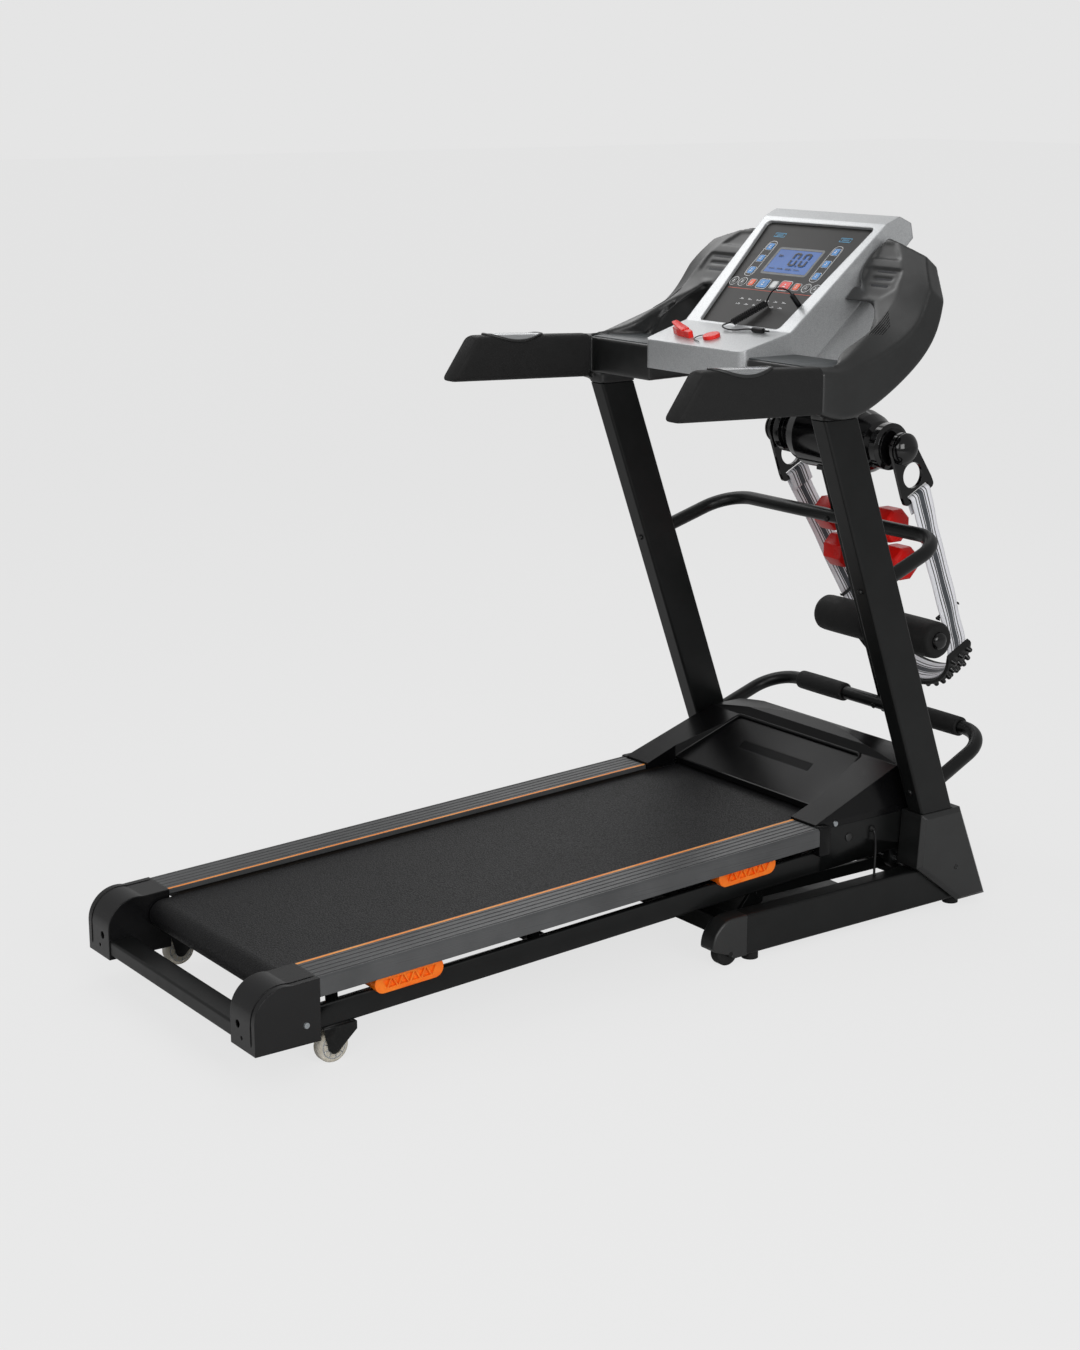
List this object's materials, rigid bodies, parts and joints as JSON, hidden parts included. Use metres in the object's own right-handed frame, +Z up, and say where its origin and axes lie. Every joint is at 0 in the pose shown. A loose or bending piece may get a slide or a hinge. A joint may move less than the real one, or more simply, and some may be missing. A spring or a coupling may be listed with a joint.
{
  "type": "folding treadmill",
  "caption": "Folding motor treadmill with ribbed rails, console, handle arms, massage belt, foam rollers and dumbbells on a front post.",
  "frame": {"origin": "on the floor under the centre of the bounding box", "axes": "+X forward along the running belt towards the console, +Y to the user's left, +Z up"},
  "size_m": [1.8626, 0.7496, 1.364],
  "materials": {
    "black_frame": "satin black paint",
    "grey_frame": "satin black paint",
    "black_plastic": "fine grained moulding",
    "gloss_black": "gloss moulding",
    "silver_plastic": "silver paint",
    "overlay": "printed overlay",
    "lcd": "display window",
    "foam": "foam",
    "steel": "brushed",
    "zinc": "plated",
    "belt_rubber": "diamond weave",
    "board": "board with a black face",
    "rail": "ribbed",
    "orange": "orange",
    "orange_rubber": "orange rubber",
    "clear": "milky urethane",
    "drive_rubber": "ribbed",
    "strap": "woven strap with a grey band",
    "red": "red vinyl",
    "red_key": "red",
    "blue_key": "blue",
    "key_grey": "grey",
    "cord": "black sheath",
    "rubber": "rubber"
  },
  "bodies": {
    "base": {"base_tubes": "black_frame", "base_crossbars": "black_frame", "base_end_caps": "black_plastic", "base_feet": "rubber", "uprights": "black_frame", "upright_covers": "black_plastic", "upper_bar": "black_frame", "lower_bar": "black_frame", "bar_sleeves": "foam", "handle_arms": "black_plastic", "grips": "foam", "pulse_plates": "steel", "console_housing": "silver_plastic", "console_back": "black_plastic", "console_panel": "overlay", "lcd_display": "lcd", "accessory_post": "black_frame", "massager_body": "gloss_black", "frame_bolts": "zinc", "incline_motor": "grey_frame", "audio_plugs": "gloss_black", "audio_lead": "cord"},
    "lift_carrier": {"pivot_shaft": "zinc", "signal_cable": "cord"},
    "deck": {"deck_frame": "black_frame", "deck_crossbars": "black_frame", "running_board": "board", "running_belt": "belt_rubber", "side_rails": "rail", "stripe_inserts": "orange", "rear_caps": "black_plastic", "cushions": "orange_rubber", "motor": "grey_frame", "drive_belt": "drive_rubber", "motor_controller": "silver_plastic", "motor_hood": "gloss_black", "deck_screws": "zinc"},
    "lift_arms": {"lift_arms": "grey_frame"},
    "incline_screw": {"incline_screw": "zinc"},
    "transport_wheel_right": {"transport_wheel_right": "black_plastic"},
    "transport_wheel_left": {"transport_wheel_left": "black_plastic"},
    "rear_wheel_right": {"rear_wheel_right": "clear"},
    "rear_wheel_left": {"rear_wheel_left": "clear"},
    "front_roller": {"front_roller": "steel"},
    "rear_roller": {"rear_roller": "steel"},
    "motor_flywheel": {"motor_flywheel": "steel"},
    "massage_belt": {"belt_hooks": "gloss_black", "massage_strap": "strap", "massage_pad": "rubber"},
    "massager_domes": {"massager_domes": "gloss_black"},
    "foam_rollers": {"foam_rollers": "foam"},
    "dumbbell_upper": {"dumbbell_upper": "red"},
    "dumbbell_lower": {"dumbbell_lower": "red"},
    "safety_key": {"safety_key": "red_key", "safety_cord": "cord"},
    "start_key": {"start_key": "blue_key"},
    "stop_key": {"stop_key": "red_key"},
    "mode_keys": {"mode_keys": "orange"},
    "incline_quick_keys": {"incline_quick_keys": "key_grey"},
    "speed_quick_keys": {"speed_quick_keys": "key_grey"}
  },
  "joints": [
    {"name": "incline", "type": "hinge", "parent": "base", "child": "lift_carrier", "pos_m": [-0.76784, 0, 0.03], "axis": [0, -1, 0], "range_deg": [0, 3]},
    {"name": "deck_fold", "type": "hinge", "parent": "lift_carrier", "child": "deck", "pos_m": [0.54856, 0, 0.104], "axis": [0, 1, 0], "range_deg": [0, 60], "deforming": ["signal_cable"]},
    {"name": "lift_swing", "type": "hinge", "parent": "base", "child": "lift_arms", "pos_m": [0.21856, 0, 0.085], "axis": [0, -1, 0], "range_deg": [0, 12.5]},
    {"name": "incline_drive", "type": "slide", "parent": "base", "child": "incline_screw", "axis": [1, 0, 0], "range_m": [0, 0.0105]},
    {"name": "transport_wheel_right_spin", "type": "hinge", "parent": "base", "child": "transport_wheel_right", "pos_m": [0.06656, -0.326, 0.025], "axis": [0, 1, 0], "continuous": true},
    {"name": "transport_wheel_left_spin", "type": "hinge", "parent": "base", "child": "transport_wheel_left", "pos_m": [0.06656, 0.326, 0.025], "axis": [0, 1, 0], "continuous": true},
    {"name": "rear_wheel_right_spin", "type": "hinge", "parent": "deck", "child": "rear_wheel_right", "pos_m": [-0.76784, -0.281, 0.03], "axis": [0, 1, 0], "continuous": true},
    {"name": "rear_wheel_left_spin", "type": "hinge", "parent": "deck", "child": "rear_wheel_left", "pos_m": [-0.76784, 0.281, 0.03], "axis": [0, 1, 0], "continuous": true},
    {"name": "front_roller_spin", "type": "hinge", "parent": "deck", "child": "front_roller", "pos_m": [0.4041, 0, 0.17912], "axis": [0, 1, 0], "continuous": true},
    {"name": "rear_roller_spin", "type": "hinge", "parent": "deck", "child": "rear_roller", "pos_m": [-0.82287, 0, 0.12882], "axis": [0, 1, 0], "continuous": true},
    {"name": "motor_spin", "type": "hinge", "parent": "deck", "child": "motor_flywheel", "pos_m": [0.49049, 0, 0.20494], "axis": [0, 1, 0], "continuous": true},
    {"name": "massage_belt_swing", "type": "hinge", "parent": "base", "child": "massage_belt", "pos_m": [0.62456, 0, 0.912], "axis": [0, -1, 0], "range_deg": [0, 60]},
    {"name": "massager_spin", "type": "hinge", "parent": "base", "child": "massager_domes", "pos_m": [0.62456, 0, 0.912], "axis": [0, 1, 0], "continuous": true},
    {"name": "foam_roller_spin", "type": "hinge", "parent": "base", "child": "foam_rollers", "pos_m": [0.75965, 0, 0.5], "axis": [0, 1, 0], "continuous": true},
    {"name": "dumbbell_upper_lift", "type": "slide", "parent": "base", "child": "dumbbell_upper", "axis": [0.7071, 0, 0.7071], "range_m": [0, 0.15]},
    {"name": "dumbbell_lower_lift", "type": "slide", "parent": "base", "child": "dumbbell_lower", "axis": [0.7071, 0, 0.7071], "range_m": [0, 0.15]},
    {"name": "safety_key_pull", "type": "slide", "parent": "base", "child": "safety_key", "axis": [-0.2613, 0, 0.9652], "range_m": [0, 0.12]},
    {"name": "start_key_press", "type": "slide", "parent": "base", "child": "start_key", "axis": [0.6639, 0, -0.7478], "range_m": [0, 0.0008], "stiffness_N_per_m": 600},
    {"name": "stop_key_press", "type": "slide", "parent": "base", "child": "stop_key", "axis": [0.6639, 0, -0.7478], "range_m": [0, 0.0008], "stiffness_N_per_m": 600},
    {"name": "mode_keys_press", "type": "slide", "parent": "base", "child": "mode_keys", "axis": [0.6639, 0, -0.7478], "range_m": [0, 0.0008], "stiffness_N_per_m": 600},
    {"name": "incline_quick_keys_press", "type": "slide", "parent": "base", "child": "incline_quick_keys", "axis": [0.6639, 0, -0.7478], "range_m": [0, 0.0008], "stiffness_N_per_m": 600},
    {"name": "speed_quick_keys_press", "type": "slide", "parent": "base", "child": "speed_quick_keys", "axis": [0.6639, 0, -0.7478], "range_m": [0, 0.0008], "stiffness_N_per_m": 600}
  ],
  "couplings": [
    {"joint": "lift_swing", "follows": "incline", "ratio": 3.97},
    {"joint": "incline_drive", "follows": "incline", "m_per_rad": 0.1892},
    {"joint": "rear_roller_spin", "follows": "front_roller_spin", "ratio": 1},
    {"joint": "motor_spin", "follows": "front_roller_spin", "ratio": 2}
  ]
}
